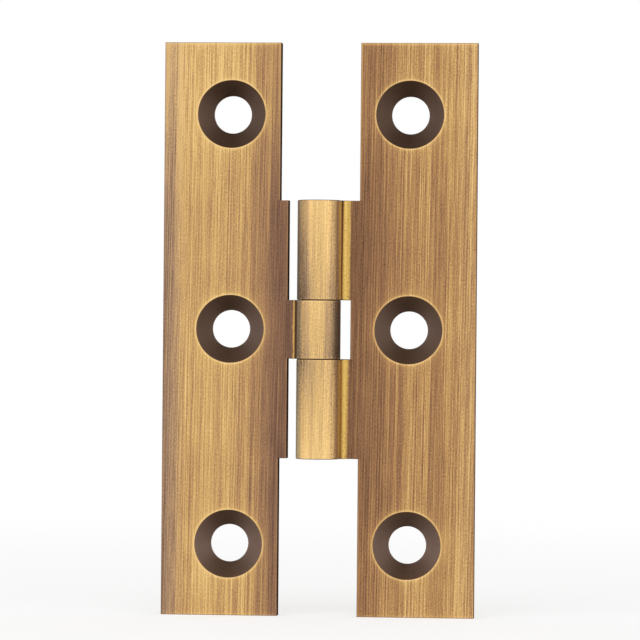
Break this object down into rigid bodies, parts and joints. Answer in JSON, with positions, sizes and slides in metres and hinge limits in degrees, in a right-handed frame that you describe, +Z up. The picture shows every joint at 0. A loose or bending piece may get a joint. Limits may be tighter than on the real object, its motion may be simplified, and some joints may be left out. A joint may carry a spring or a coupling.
{
  "type": "h hinge",
  "caption": "Flat H-shaped cabinet hinge: long narrow leaves with countersunk screw holes, joined by a short central barrel on a captive pin, in brushed antique brass.",
  "frame": {"origin": "on the pin's axis, at the middle of the barrel, which is the middle of the hinge's box", "axes": "+Z up along the pin, +X across from the door leaf to the frame leaf, +Y back into the surface it is screwed to; the countersunk faces look towards -Y"},
  "size_m": [0.035, 0.0049, 0.064],
  "materials": {
    "frame_leaf_brass": "antique brass: brushed along the pin over a dark brown patina, worn golden on the face, dark in the countersinks",
    "door_leaf_brass": "antique brass: brushed along the pin over a dark brown patina, worn golden on the face, dark in the countersinks",
    "pin_brass": "plain drawn brass with a light brown patina"
  },
  "bodies": {
    "frame_leaf": {"frame_leaf": "frame_leaf_brass", "hinge_pin": "pin_brass"},
    "door_leaf": {"door_leaf": "door_leaf_brass"}
  },
  "joints": [
    {"name": "door_leaf_swing", "type": "hinge", "parent": "frame_leaf", "child": "door_leaf", "pos_m": [0, 0, 0], "axis": [0, 0, 1], "range_deg": [-105, 180]}
  ]
}
